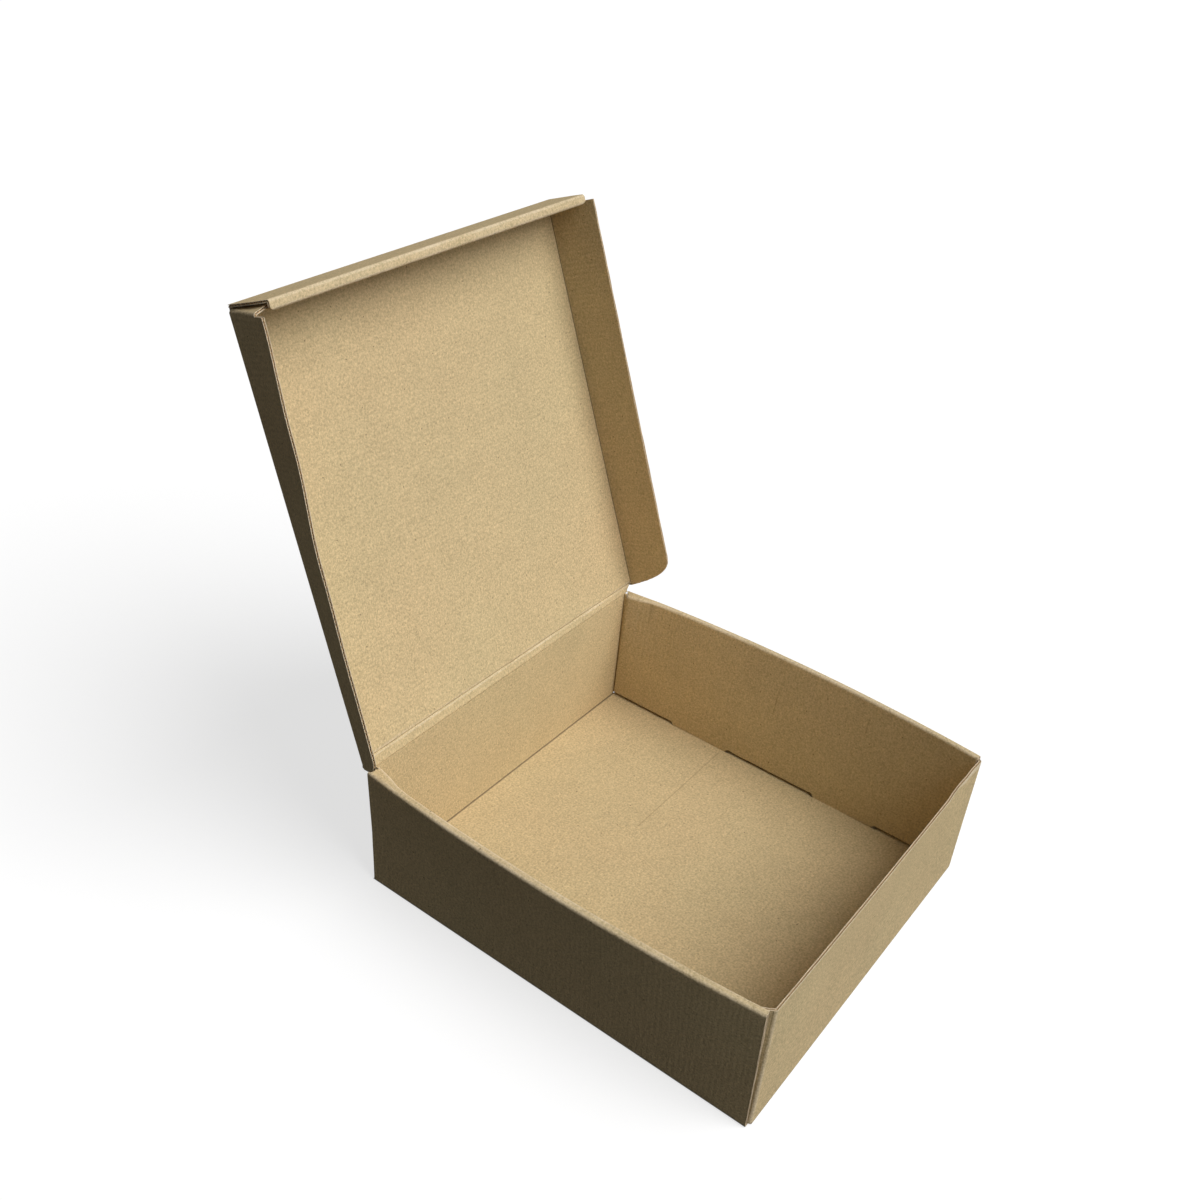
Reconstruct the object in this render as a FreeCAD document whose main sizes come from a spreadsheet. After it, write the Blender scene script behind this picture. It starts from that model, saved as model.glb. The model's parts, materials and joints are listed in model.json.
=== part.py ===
import FreeCAD, Part
import math
import os

import Sketcher

# Open mailer box, folded from one sheet of corrugated board.
# X runs along the hinge, -Y is the front wall, +Y is the hinge wall, Z is up.
# The origin is the middle of the underside. Lengths are millimetres, angles degrees.

SIZES = [
    ("board", 1.6, "thickness of the corrugated board"),
    ("tray_width", 265.0, "outside of the tray along the hinge"),
    ("tray_depth", 280.0, "outside of the tray from front wall to hinge wall"),
    ("tray_height", 92.0, "underside to the top of the rolled rims"),
    ("crease_radius", 0.4, "inside radius of a right-angled fold"),
    ("rim_crease_radius", 0.2, "inside radius of the tighter folds of a rolled edge"),
    ("layer_gap", 0.3, "air beside each layer of a rolled tray wall"),
    ("dust_flap_length", 72.0, "dust flap, from the outside of its wall"),
    ("dust_flap_lift", 1.0, "dust flap above the base"),
    ("rim_drop", 0.4, "dust flap below the underside of the rim"),
    ("rim_lip", 5.0, "depth of the straight-ended stretch under the rim"),
    ("inner_panel_lift", 2.2, "inner panel above the base"),
    ("inner_gap_top", 3.5, "inner panel to the end walls at the rim"),
    ("inner_gap_bottom", 1.2, "inner panel to the end walls at the base"),
    ("tab_start", 35.0, "middle of the wall to the near shoulder of a locking tab"),
    ("tab_length", 49.0, "locking tab at its shoulders"),
    ("tab_taper", 2.0, "how far each side of a locking tab slants in"),
    ("tab_lift", 0.3, "end of a locking tab above the underside"),
    ("slot_side_gap", 0.35, "air beside a locking tab across its slot"),
    ("slot_end_gap", 1.0, "air at each end of a locking tab in its slot"),
    ("hinge_gap", 0.3, "air between the hinge wall and the lid's hinge edge"),
    ("lid_rest_gap", 0.4, "closed lid above the rims"),
    ("lid_angle", 69.2, "lid panel above the level of the floor, as it stands"),
    ("lid_side_gap", 5.9, "closed lid flap to the side of the tray"),
    ("lid_front_gap", 1.2, "closed lid front to the front of the tray"),
    ("lid_front_height", 33.5, "lid panel's middle layer to the top of the rolled front"),
    ("lid_flap_depth", 37.0, "lid panel's middle layer to the free edge of a flap"),
    ("lid_flap_start", 5.0, "hinge axis to the start of a lid flap"),
    ("flap_nose_run", 18.0, "how far the flap's slanted end runs along the lid"),
    ("flap_nose_radius", 85.0, "radius of the flap's slanted end"),
    ("flap_corner_radius", 6.0, "radius of the flap's free corner"),
    ("roll_gap", 0.8, "air beside the corner tab in the rolled lid front"),
    ("roll_lift", 0.5, "edge of the rolled-in panel above the lid panel"),
    ("corner_tab_length", 45.0, "corner tab of a lid flap, from the flap's outside"),
    ("corner_tab_drop", 0.4, "corner tab below the board over it in the rolled front"),
    ("front_end_slant", 6.0, "height of the slanted cut at the ends of the lid front"),
    ("upper_crease", 8.5, "hinge axis to the second crease of the hinge"),
    ("crease_width", 1.6, "width of the pressed line of the second crease"),
    ("crease_height", 0.35, "height of the pressed line of the second crease"),
    ("left_splay_hinge", 25.0, "lean of the left lid flap at the hinge end"),
    ("left_splay_middle", 21.0, "lean of the left lid flap half way"),
    ("left_splay_front", 12.0, "lean of the left lid flap at the front"),
    ("right_splay", 4.0, "lean of the right lid flap"),
]

LEFT = -1
RIGHT = 1
CUT_MARGIN = 1.0


class Size:
    """A number with the sheet formula that gives it."""

    def __init__(self, formula, value):
        self.formula = formula
        self.value = value

    def __add__(self, other):
        other = as_size(other)
        return Size(f"({self.formula} + {other.formula})", self.value + other.value)

    def __sub__(self, other):
        other = as_size(other)
        return Size(f"({self.formula} - {other.formula})", self.value - other.value)

    def __mul__(self, other):
        other = as_size(other)
        return Size(f"({self.formula} * {other.formula})", self.value * other.value)

    def __truediv__(self, other):
        other = as_size(other)
        return Size(f"({self.formula} / {other.formula})", self.value / other.value)

    def __rsub__(self, other):
        return as_size(other) - self

    def __neg__(self):
        return 0 - self

    __radd__ = __add__
    __rmul__ = __mul__


def as_size(number):
    if isinstance(number, Size):
        return number
    return Size(repr(float(number)), float(number))


def sine(angle):
    return Size(f"sin({angle.formula})", math.sin(math.radians(angle.value)))


def cosine(angle):
    return Size(f"cos({angle.formula})", math.cos(math.radians(angle.value)))


def make_sheet(doc):
    """Driving dimensions, one row each: note, value and alias."""
    sheet = doc.addObject("Spreadsheet::Sheet", "Sizes")
    sizes = {}
    for row, (alias, value, note) in enumerate(SIZES, start=1):
        sheet.set(f"A{row}", note)
        sheet.set(f"B{row}", str(value))
        sheet.setAlias(f"B{row}", alias)
    doc.recompute()
    for alias, _, _ in SIZES:
        sizes[alias] = Size(f"Sizes.{alias}", float(sheet.get(alias)))
    return sizes


def derive(size):
    """Sizes that follow from the sheet and are used by more than one feature."""
    size["half_width"] = size["tray_width"] / 2
    size["half_depth"] = size["tray_depth"] / 2
    size["fold_radius"] = size["crease_radius"] + size["board"]
    size["rim_fold_radius"] = size["rim_crease_radius"] + size["board"]
    size["rim_width"] = 3 * size["board"] + 2 * size["layer_gap"]
    size["wall_end"] = size["half_depth"] - size["fold_radius"]
    size["dust_flap_side"] = size["half_width"] - size["board"] - size["layer_gap"]
    size["end_wall_half"] = size["dust_flap_side"] - size["fold_radius"]
    size["front_top"] = size["tray_height"] - size["board"] - size["rim_drop"]
    size["hinge_y"] = size["half_depth"] - size["board"] / 2
    size["hinge_z"] = size["tray_height"] + size["lid_rest_gap"] + size["board"] / 2
    size["hinge_wall_top"] = size["hinge_z"] - size["board"] / 2 - size["hinge_gap"]
    size["inner_face"] = size["half_width"] - size["rim_width"]
    size["inner_end_top"] = size["half_depth"] - size["board"] - size["inner_gap_top"]
    size["inner_end_bottom"] = size["half_depth"] - size["board"] - size["inner_gap_bottom"]
    size["roll_width"] = 3 * size["board"] + 2 * size["roll_gap"]
    size["lid_length"] = size["hinge_y"] + size["half_depth"] + size["lid_front_gap"] + size["roll_width"]
    size["lid_half"] = size["half_width"] + size["lid_side_gap"] + size["board"]
    size["lid_panel_half"] = size["lid_half"] - size["fold_radius"]
    size["corner_tab_back"] = size["lid_length"] - size["board"] - size["roll_gap"]
    size["flap_end"] = size["corner_tab_back"] - size["fold_radius"]


def origin_plane(body, role):
    for feature in body.Origin.OriginFeatures:
        if feature.Role == role:
            return feature
    raise ValueError(role)


def new_sketch(body, name, role, offset=None):
    """Sketch on an origin plane of its own body, moved along the plane's normal."""
    sketch = body.newObject("Sketcher::SketchObject", name)
    sketch.AttachmentSupport = (origin_plane(body, role), [""])
    sketch.MapMode = "FlatFace"
    if offset is not None:
        sketch.AttachmentOffset = FreeCAD.Placement(
            FreeCAD.Vector(0, 0, offset.value), FreeCAD.Rotation()
        )
        sketch.setExpression("AttachmentOffset.Base.z", offset.formula)
    return sketch


def arc_through(start, end, radius, turn):
    """Arc from start to end, turning left (1) or right (-1), at most half a circle."""
    chord = end - start
    height = math.sqrt(max(radius**2 - chord.Length**2 / 4, 0.0))
    left = FreeCAD.Vector(-chord.y, chord.x, 0).normalize()
    centre = (start + end) / 2 + left * height * turn
    first, last = (start, end) if turn > 0 else (end, start)
    angles = [math.atan2(p.y - centre.y, p.x - centre.x) for p in (first, last)]
    circle = Part.Circle(centre, FreeCAD.Vector(0, 0, 1), radius)
    return Part.ArcOfCircle(circle, angles[0], angles[1])


def draw(sketch, steps):
    """Closed outline. A step is (x, y) for a line or (x, y, radius, turn) for an arc to that point."""
    points = [FreeCAD.Vector(as_size(s[0]).value, as_size(s[1]).value, 0) for s in steps]
    ends = []
    for index, step in enumerate(steps):
        start, end = points[index - 1], points[index]
        if len(step) == 2:
            edge = sketch.addGeometry(Part.LineSegment(start, end))
            ends.append((edge, 1, 2))
            continue
        radius, turn = as_size(step[2]), step[3]
        edge = sketch.addGeometry(arc_through(start, end, radius.value, turn))
        ends.append((edge, 1, 2) if turn > 0 else (edge, 2, 1))
        bind(sketch, Sketcher.Constraint("Radius", edge, radius.value), radius)
    for index, step in enumerate(steps):
        edge, _, last = ends[index]
        follower, first, _ = ends[(index + 1) % len(steps)]
        sketch.addConstraint(Sketcher.Constraint("Coincident", edge, last, follower, first))
        for kind, size in (("DistanceX", as_size(step[0])), ("DistanceY", as_size(step[1]))):
            bind(sketch, Sketcher.Constraint(kind, -1, 1, edge, last, size.value), size)


def bind(sketch, constraint, size):
    index = sketch.addConstraint(constraint)
    sketch.setExpression(f"Constraints[{index}]", size.formula)


def toward(corner, neighbour, radius):
    """Point of a square-cornered outline that lies one radius from a corner."""
    moved = []
    for here, there in zip(corner, neighbour):
        difference = as_size(there).value - as_size(here).value
        if abs(difference) < 1e-9:
            moved.append(as_size(here))
        elif difference > 0:
            moved.append(here + radius)
        else:
            moved.append(here - radius)
    return tuple(moved)


def folded(corners):
    """Steps of a square-cornered outline whose corners with a radius are folds."""
    steps = []
    for index, (x, y, radius) in enumerate(corners):
        if radius is None:
            steps.append((x, y))
            continue
        corner = (as_size(x), as_size(y))
        before = corners[index - 1][:2]
        after = corners[(index + 1) % len(corners)][:2]
        entry = toward(corner, before, radius)
        leave = toward(corner, after, radius)
        way_in = [corner[i].value - as_size(before[i]).value for i in (0, 1)]
        way_out = [as_size(after[i]).value - corner[i].value for i in (0, 1)]
        turn = 1 if way_in[0] * way_out[1] - way_in[1] * way_out[0] > 0 else -1
        steps.append(entry)
        steps.append((leave[0], leave[1], radius, turn))
    return steps


def extrude(body, kind, sketch, name, length, side="One side", reverse=False):
    feature = body.newObject(f"PartDesign::{kind}", name)
    feature.Profile = sketch
    feature.SideType = side
    feature.Length = length.value
    feature.setExpression("Length", length.formula)
    feature.Reversed = reverse
    return feature


def cut(doc, body, sketch, name, length, side="One side", reverse=False):
    """Pocket that is known to take board away."""
    doc.recompute()
    before = body.Shape.Volume
    feature = extrude(body, "Pocket", sketch, name, length, side, reverse)
    doc.recompute()
    if not body.Shape.Volume < before:
        raise ValueError(f"{name} cuts nothing")
    return feature


def loft(body, sections, name):
    feature = body.newObject("PartDesign::AdditiveLoft", name)
    feature.Profile = sections[0]
    feature.Sections = sections[1:]
    feature.Ruled = True
    return feature


def tray_section(body, size):
    """Base, outer side panels, rim webs and the rolled lips, folded across the width."""
    half, height, board = size["half_width"], size["tray_height"], size["board"]
    lip = height - size["rim_lip"]
    inner = size["inner_face"]
    fold, crease = size["fold_radius"], size["crease_radius"]
    rim_fold, rim_crease = size["rim_fold_radius"], size["rim_crease_radius"]
    right = [
        (half, 0, fold),
        (half, height, rim_fold),
        (inner, height, rim_fold),
        (inner, lip, None),
        (inner + board, lip, None),
        (inner + board, height - board, rim_crease),
        (half - board, height - board, rim_crease),
        (half - board, board, crease),
    ]
    left = [(-x, y, radius) for x, y, radius in reversed(right)]
    sketch = new_sketch(body, "TraySection", "XZ_Plane")
    draw(sketch, folded(right + left))
    extrude(body, "Pad", sketch, "BaseAndRolledSides", 2 * size["wall_end"], "Symmetric")


def rim_corner_cuts(doc, body, size):
    """The rim web and lip stop short of the end walls, with a slanted cut across the web."""
    sketch = new_sketch(body, "RimCorners", "XY_Plane", size["tray_height"])
    inner, board = size["inner_face"], size["board"]
    for side in (LEFT, RIGHT):
        for end in (LEFT, RIGHT):
            draw(sketch, [
                (side * (inner - CUT_MARGIN), end * size["inner_end_top"]),
                (side * (inner + board), end * size["inner_end_top"]),
                (side * (size["half_width"] - board), end * size["wall_end"]),
                (side * (inner - CUT_MARGIN), end * size["wall_end"]),
            ])
    cut(doc, body, sketch, "RimCornerCuts", size["rim_lip"])


def slots(doc, body, size):
    """Slots in the base for the locking tabs of both inner panels."""
    sketch = new_sketch(body, "TabSlots", "XY_Plane")
    near_x = size["inner_face"] - size["slot_side_gap"]
    far_x = size["inner_face"] + size["board"] + size["slot_side_gap"]
    near_y = size["tab_start"] - size["slot_end_gap"]
    far_y = size["tab_start"] + size["tab_length"] + size["slot_end_gap"]
    for side in (LEFT, RIGHT):
        for end in (LEFT, RIGHT):
            draw(sketch, [
                (side * near_x, end * near_y),
                (side * far_x, end * near_y),
                (side * far_x, end * far_y),
                (side * near_x, end * far_y),
            ])
    cut(doc, body, sketch, "TabSlotCuts", size["board"], reverse=True)


def end_walls(body, size):
    """Front wall and hinge wall, folded up from the base."""
    half, board = size["half_depth"], size["board"]
    fold, crease = size["fold_radius"], size["crease_radius"]
    sketch = new_sketch(body, "EndWallSection", "YZ_Plane")
    draw(sketch, folded([
        (-half, 0, fold),
        (half, 0, fold),
        (half, size["hinge_wall_top"], None),
        (half - board, size["hinge_wall_top"], None),
        (half - board, board, crease),
        (-half + board, board, crease),
        (-half + board, size["front_top"], None),
        (-half, size["front_top"], None),
    ]))
    extrude(body, "Pad", sketch, "EndWalls", 2 * size["end_wall_half"], "Symmetric")


def dust_flaps(body, size):
    """Flaps of the end walls, folded into the gap between the layers of the side walls."""
    bottom = size["board"] + size["dust_flap_lift"]
    side_x, wall_y, board = size["dust_flap_side"], size["half_depth"], size["board"]
    tip_y = wall_y - size["dust_flap_length"]
    fold, crease = size["fold_radius"], size["crease_radius"]
    sketch = new_sketch(body, "DustFlapPlan", "XY_Plane", bottom)
    for end in (LEFT, RIGHT):
        right = [
            (side_x, end * wall_y, fold),
            (side_x, end * tip_y, None),
            (side_x - board, end * tip_y, None),
            (side_x - board, end * (wall_y - board), crease),
        ]
        left = [(-x, y, radius) for x, y, radius in reversed(right)]
        draw(sketch, folded(right + left))
    extrude(body, "Pad", sketch, "DustFlaps", size["front_top"] - bottom)


def inner_panels(body, size):
    """Inner side panels, from the rim lip down to the base, with two locking tabs each."""
    shoulder = size["board"] + size["inner_panel_lift"]
    top = size["tray_height"] - size["rim_lip"]
    near, far = size["tab_start"], size["tab_start"] + size["tab_length"]
    half = [
        (near, shoulder),
        (near + size["tab_taper"], size["tab_lift"]),
        (far - size["tab_taper"], size["tab_lift"]),
        (far, shoulder),
        (size["inner_end_bottom"], shoulder),
        (size["inner_end_top"], top),
    ]
    outline = half + [(-y, z) for y, z in reversed(half)]
    for side, name in ((LEFT, "Left"), (RIGHT, "Right")):
        sketch = new_sketch(body, f"{name}InnerOutline", "YZ_Plane", side * size["inner_face"])
        draw(sketch, outline)
        extrude(body, "Pad", sketch, f"{name}InnerPanel", size["board"], reverse=side == LEFT)


def make_tray(doc, size):
    body = doc.addObject("PartDesign::Body", "Tray")
    body.Label = "tray"
    tray_section(body, size)
    rim_corner_cuts(doc, body, size)
    slots(doc, body, size)
    end_walls(body, size)
    dust_flaps(body, size)
    inner_panels(body, size)
    return body


def lid_section(body, size):
    """Hinge edge, panel with its second crease, and the rolled front, drawn lying open."""
    skin, board = size["board"] / 2, size["board"]
    length, top = size["lid_length"], size["lid_front_height"]
    fold, crease = size["fold_radius"], size["crease_radius"]
    rim_fold, rim_crease = size["rim_fold_radius"], size["rim_crease_radius"]
    roll_back = length - size["roll_width"]
    line, reach = size["upper_crease"], size["crease_width"] / 2
    rise = size["crease_height"]
    line_radius = (reach * reach + rise * rise) / (2 * rise)
    roll = folded([
        (line + reach, -skin, None),
        (length, -skin, fold),
        (length, top, rim_fold),
        (roll_back, top, rim_fold),
        (roll_back, skin + size["roll_lift"], None),
        (roll_back + board, skin + size["roll_lift"], None),
        (roll_back + board, top - board, rim_crease),
        (length - board, top - board, rim_crease),
        (length - board, skin, crease),
        (line + reach, skin, None),
    ])
    sketch = new_sketch(body, "LidSection", "YZ_Plane")
    draw(sketch, [
        (line - reach, -skin),
        (line + reach, -skin, line_radius, -1),
    ] + roll[1:] + [
        (line - reach, skin, line_radius, 1),
        (0, skin),
        (-skin, 0, skin, 1),
        (0, -skin, skin, 1),
    ])
    extrude(body, "Pad", sketch, "PanelAndRolledFront", 2 * size["lid_panel_half"], "Symmetric")


def hinge_corner_cuts(doc, body, size):
    """The lid narrows between its two hinge creases to the width of the hinge wall."""
    sketch = new_sketch(body, "HingeCorners", "XY_Plane")
    outside = size["lid_half"]
    through = 4 * size["board"]
    for side in (LEFT, RIGHT):
        draw(sketch, [
            (side * size["end_wall_half"], -size["board"]),
            (side * outside, -size["board"]),
            (side * outside, size["upper_crease"]),
            (side * size["lid_panel_half"], size["upper_crease"]),
            (side * size["end_wall_half"], size["board"]),
        ])
    cut(doc, body, sketch, "HingeCornerCuts", through, "Symmetric")


def front_ends(body, size):
    """Ends of the lid's front panel, which cover the folds of the flaps, cut at a slant."""
    sketch = new_sketch(body, "FrontEnds", "XZ_Plane", -size["lid_length"])
    low = size["fold_radius"] - size["board"] / 2 + size["layer_gap"]
    high = size["lid_front_height"] - size["rim_fold_radius"]
    for side in (LEFT, RIGHT):
        draw(sketch, [
            (side * size["lid_panel_half"], low),
            (side * size["lid_half"], low),
            (side * size["lid_half"], high - size["front_end_slant"]),
            (side * size["lid_panel_half"], high),
        ])
    extrude(body, "Pad", sketch, "FrontPanelEnds", size["board"])


def flap_faces(size, splay, level):
    """Outer and inner face of a leaning flap at one level, outwards from the fold's centre."""
    centre_level = size["fold_radius"] - size["board"] / 2
    lean = sine(splay) / cosine(splay)
    faces = []
    for radius in (size["fold_radius"], size["crease_radius"]):
        rise = level - centre_level + radius * sine(splay)
        faces.append(size["lid_panel_half"] + radius * cosine(splay) + rise * lean)
    return faces


def flap_section(body, size, side, name, station, splay):
    """Section of a flap and its fold at one station along the lid."""
    skin, fold, crease = size["board"] / 2, size["fold_radius"], size["crease_radius"]
    centre_x, centre_z = size["lid_panel_half"], fold - skin
    depth = size["lid_flap_depth"] - centre_z
    across, along = cosine(splay), sine(splay)
    outline = [
        (centre_x, -skin),
        (centre_x + fold * across, centre_z - fold * along, fold, side),
        (centre_x + fold * across + depth * along, centre_z - fold * along + depth * across),
        (centre_x + crease * across + depth * along, centre_z - crease * along + depth * across),
        (centre_x + crease * across, centre_z - crease * along),
        (centre_x, skin, crease, -side),
    ]
    sketch = new_sketch(body, name, "XZ_Plane", -station)
    draw(sketch, [(side * step[0], *step[1:]) for step in outline])
    return sketch


def lid_flap(body, size, side, name, splays):
    """Side flap of the lid, which leans out by another angle at each station."""
    start, end = size["lid_flap_start"], size["flap_end"]
    last = len(splays) - 1
    sections = []
    for index, splay in enumerate(splays):
        station = start + (end - start) * (index / last)
        label = f"{name}FlapSection{index + 1}"
        sections.append(flap_section(body, size, side, label, station, splay))
    loft(body, sections, f"{name}LidFlap")


def corner_tab(body, size, side, name, splay):
    """Corner tab, folded from the flap's front end into the hollow of the rolled front."""
    board, fold, crease = size["board"], size["fold_radius"], size["crease_radius"]
    back, bottom = size["corner_tab_back"], size["fold_radius"] - board / 2
    top = size["lid_front_height"] - board - size["corner_tab_drop"]
    tip = size["lid_half"] - size["corner_tab_length"]
    sections = []
    for index, level in enumerate((bottom, top)):
        outer, inner = flap_faces(size, splay, level)
        outline = [
            (outer, size["flap_end"]),
            (outer - fold, back, fold, side),
            (tip, back),
            (tip, back - board),
            (outer - fold, back - board),
            (inner, size["flap_end"], inner - outer + fold, -side),
        ]
        sketch = new_sketch(body, f"{name}TabSection{index + 1}", "XY_Plane", level)
        draw(sketch, [(side * step[0], *step[1:]) for step in outline])
        sections.append(sketch)
    loft(body, sections, f"{name}CornerTab")


def flap_noses(doc, body, size):
    """Both flaps slant away from the hinge in a long curve and a rounded corner."""
    start, low = size["lid_flap_start"], size["fold_radius"]
    corner, depth = size["flap_corner_radius"], size["lid_flap_depth"]
    turn_y, turn_z = start + size["flap_nose_run"], depth - corner / 2
    through = 4 * size["lid_half"]
    sketch = new_sketch(body, "FlapNoses", "YZ_Plane")
    draw(sketch, [
        (start - CUT_MARGIN, low),
        (start, low),
        (turn_y, turn_z, size["flap_nose_radius"], -1),
        (turn_y + corner, depth, corner, -1),
        (turn_y + corner, depth + corner),
        (start - CUT_MARGIN, depth + corner),
    ])
    cut(doc, body, sketch, "FlapNoseCuts", through, "Symmetric")


def make_lid(doc, size):
    body = doc.addObject("PartDesign::Body", "Lid")
    body.Label = "lid"
    lid_section(body, size)
    hinge_corner_cuts(doc, body, size)
    front_ends(body, size)
    left_splays = [size["left_splay_hinge"], size["left_splay_middle"], size["left_splay_front"]]
    right_splays = [size["right_splay"], size["right_splay"]]
    for side, name, splays in ((LEFT, "Left", left_splays), (RIGHT, "Right", right_splays)):
        lid_flap(body, size, side, name, splays)
        corner_tab(body, size, side, name, splays[-1])
    flap_noses(doc, body, size)
    stand_open(body, size)
    return body


def stand_open(body, size):
    """Turn the lid up about the hinge axis on top of the hinge wall."""
    body.Placement = FreeCAD.Placement(
        FreeCAD.Vector(0, size["hinge_y"].value, size["hinge_z"].value),
        FreeCAD.Rotation(FreeCAD.Vector(1, 0, 0), size["lid_angle"].value),
    )
    body.setExpression("Placement.Base.y", size["hinge_y"].formula)
    body.setExpression("Placement.Base.z", size["hinge_z"].formula)
    body.setExpression("Placement.Rotation.Angle", size["lid_angle"].formula)


def check(doc, bodies):
    """Stop if any feature failed or a sheet isn't one sound solid."""
    for item in doc.Objects:
        if {"Invalid", "Error"} & set(item.State):
            raise ValueError(f"{item.Name} failed: {item.State}")
    for body in bodies:
        shape = body.Shape
        if shape.isNull() or not shape.isValid() or len(shape.Solids) != 1:
            raise ValueError(f"{body.Label} is not one valid solid")


def main():
    doc = FreeCAD.newDocument("MailerBox")
    size = make_sheet(doc)
    derive(size)
    bodies = [make_tray(doc, size), make_lid(doc, size)]
    doc.recompute()
    check(doc, bodies)
    os.makedirs("parts", exist_ok=True)
    for body in bodies:
        body.Shape.exportStep(f"parts/{body.Label}.step")
        box = body.Shape.BoundBox
        print(body.Label, "volume", round(body.Shape.Volume), "box", box)


main()
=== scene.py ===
import json
import math

import bmesh
import bpy
from bpy.props import FloatProperty, FloatVectorProperty, PointerProperty
from mathutils import Matrix, Vector, noise


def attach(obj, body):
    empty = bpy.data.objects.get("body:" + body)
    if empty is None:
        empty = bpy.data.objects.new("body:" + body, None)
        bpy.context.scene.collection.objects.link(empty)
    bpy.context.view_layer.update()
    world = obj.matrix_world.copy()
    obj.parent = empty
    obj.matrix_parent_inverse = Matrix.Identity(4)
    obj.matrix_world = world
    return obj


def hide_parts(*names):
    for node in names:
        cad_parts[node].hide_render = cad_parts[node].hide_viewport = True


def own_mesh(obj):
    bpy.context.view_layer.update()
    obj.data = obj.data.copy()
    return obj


bl_info = {
    "name": "Open mailer box",
    "version": (1, 0, 0),
    "blender": (4, 5, 0),
    "location": "View3D > Sidebar > Mailer box",
    "description": "Folds the tray and the lid of a corrugated mailer box from their boards",
    "category": "Object",
}

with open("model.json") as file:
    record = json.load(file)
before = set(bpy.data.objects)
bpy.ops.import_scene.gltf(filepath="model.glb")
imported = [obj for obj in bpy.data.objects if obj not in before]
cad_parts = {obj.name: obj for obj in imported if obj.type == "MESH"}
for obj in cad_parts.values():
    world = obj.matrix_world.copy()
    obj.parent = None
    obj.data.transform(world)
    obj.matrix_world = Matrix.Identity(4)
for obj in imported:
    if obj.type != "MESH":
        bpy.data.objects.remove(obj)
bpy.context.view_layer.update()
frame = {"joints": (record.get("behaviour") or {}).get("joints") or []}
HINGE = frame["joints"][0]["pos_m"]

MM = 0.001
FOLD_STEPS = 6
GRID_STEP = 9.0
NEAR_FOLD = 1.5
NEAR_DOUBLE = 0.8
SMOOTH_ANGLE = 40
FLOOR_HALF = 30.0
# the last slot is painted shade: the near-black back of a cut-open flute's hollow
LINER, LINER_EDGE, CLOSED_FLUTING, FLUTE_HOLLOW_SHADE = range(4)


def ramp(value, start, end):
    """0 before start, 1 after end, with a smooth rise between them."""
    share = min(max((value - start) / (end - start), 0.0), 1.0)
    return share * share * (3 - 2 * share)


def through(stops, value):
    """Value on the smooth line through (position, value) stops."""
    if value <= stops[0][0]:
        return stops[0][1]
    for (start, low), (end, high) in zip(stops, stops[1:]):
        if value <= end:
            return low + (high - low) * ramp(value, start, end)
    return stops[-1][1]


def straight(stops, value):
    """Value on the straight runs between (position, value) stops."""
    if value <= stops[0][0]:
        return stops[0][1]
    for (start, low), (end, high) in zip(stops, stops[1:]):
        if value <= end:
            return low + (high - low) * (value - start) / (end - start)
    return stops[-1][1]


def bow(ends, middle, value, half):
    """Arch between two ends: the value at -half, at the middle and at half."""
    near, far = ends
    level, slope = (near + far) / 2, (far - near) / 2
    share = value / half
    return level + slope * share + (middle - level) * (1 - share * share)


class Path:
    """Line of straight runs and bends in a plane. A run is (length, turn in degrees)."""

    def __init__(self, start, heading, runs):
        self.start = start
        self.heading = math.radians(heading)
        self.runs = runs

    def at(self, distance):
        """Point at that distance along the path."""
        x, y = self.start
        heading = self.heading
        for index, (length, turn) in enumerate(self.runs):
            last = index == len(self.runs) - 1
            part = distance if last else min(distance, length)
            if turn:
                angle = math.radians(turn) * part / length
                radius = length / math.radians(turn)
                x += radius * (math.sin(heading + angle) - math.sin(heading))
                y += radius * (math.cos(heading) - math.cos(heading + angle))
                heading += angle
            else:
                x += part * math.cos(heading)
                y += part * math.sin(heading)
            distance -= part
            if distance <= 0:
                break
        return x, y

    def ends(self):
        """Distance at the end of each run."""
        total, found = 0.0, []
        for length, _ in self.runs:
            total += length
            found.append(total)
        return found

    def lines(self, step=GRID_STEP):
        """Distances of the grid lines: close beside a bend and evenly on a straight run."""
        found = [0.0]
        for length, turn in self.runs:
            start = found[-1]
            if turn:
                found += [start + length * (i + 1) / FOLD_STEPS for i in range(FOLD_STEPS)]
                continue
            inner = []
            if length > 4 * NEAR_FOLD:
                room = length - 2 * NEAR_FOLD
                count = max(1, round(room / step))
                inner = [NEAR_FOLD + room * i / count for i in range(count + 1)]
            found += [start + value for value in inner + [length]]
        return found


def both_ways(lines):
    """Grid lines on both sides of the middle."""
    return sorted({round(sign * line, 4) for line in lines for sign in (-1, 1)})


def with_lines(lines, extra):
    """Grid lines with more of them, without near doubles."""
    kept = sorted(extra)
    for line in lines:
        if all(abs(line - other) > NEAR_DOUBLE for other in extra):
            kept.append(line)
    return sorted(kept)


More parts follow.
